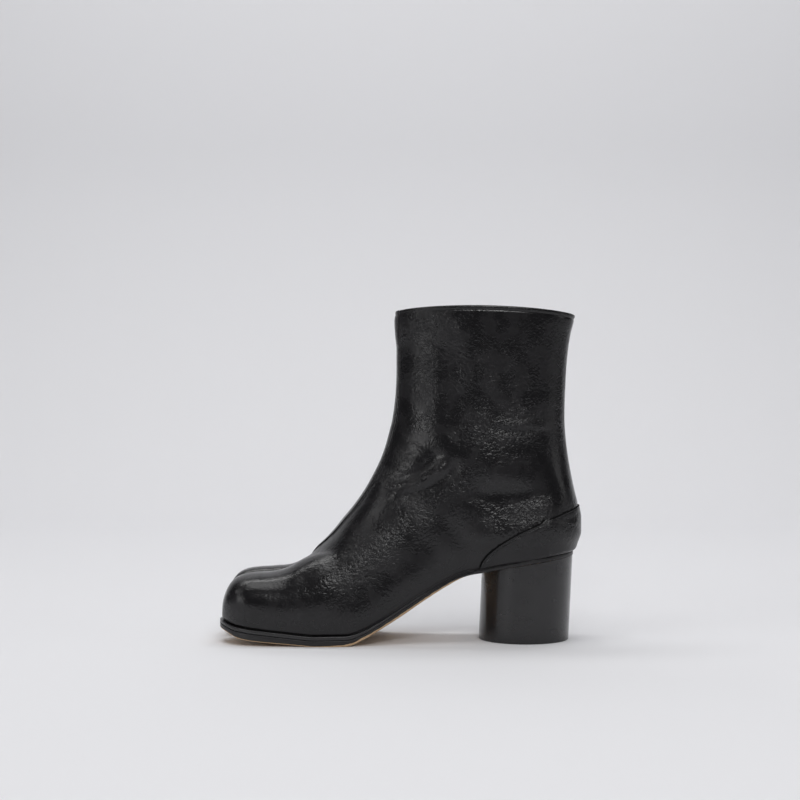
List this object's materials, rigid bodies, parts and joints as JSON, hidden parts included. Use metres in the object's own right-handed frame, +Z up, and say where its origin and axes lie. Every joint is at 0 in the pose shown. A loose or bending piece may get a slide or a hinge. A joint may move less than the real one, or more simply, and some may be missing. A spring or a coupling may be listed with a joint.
{
  "type": "split-toe ankle boot",
  "caption": "Black leather ankle boot with a split toe, a straight shaft, a thin leather sole and a round block heel, left foot.",
  "frame": {"origin": "on the floor, under the middle of the boot's length and width", "axes": "+Z up, toes towards -X, heel towards +X, +Y the inner (medial) side of the left foot"},
  "size_m": [0.249, 0.086, 0.2316],
  "materials": {
    "upper_leather": "polished, fine grain",
    "edge_black": "inked edge, half gloss",
    "sole_leather": "natural, smooth, waxed",
    "sock_leather": "matte",
    "heel_black": "covered, polished",
    "clasp_metal": "plated, worn"
  },
  "bodies": {
    "root": {"outsole": "sole_leather", "welt": "edge_black", "insole": "sock_leather", "upper": "upper_leather", "heel_counter": "upper_leather", "heel_block": "heel_black", "placket": "upper_leather", "clasp_1": "clasp_metal", "clasp_2": "clasp_metal", "clasp_3": "clasp_metal", "clasp_4": "clasp_metal", "clasp_5": "clasp_metal"}
  },
  "joints": []
}
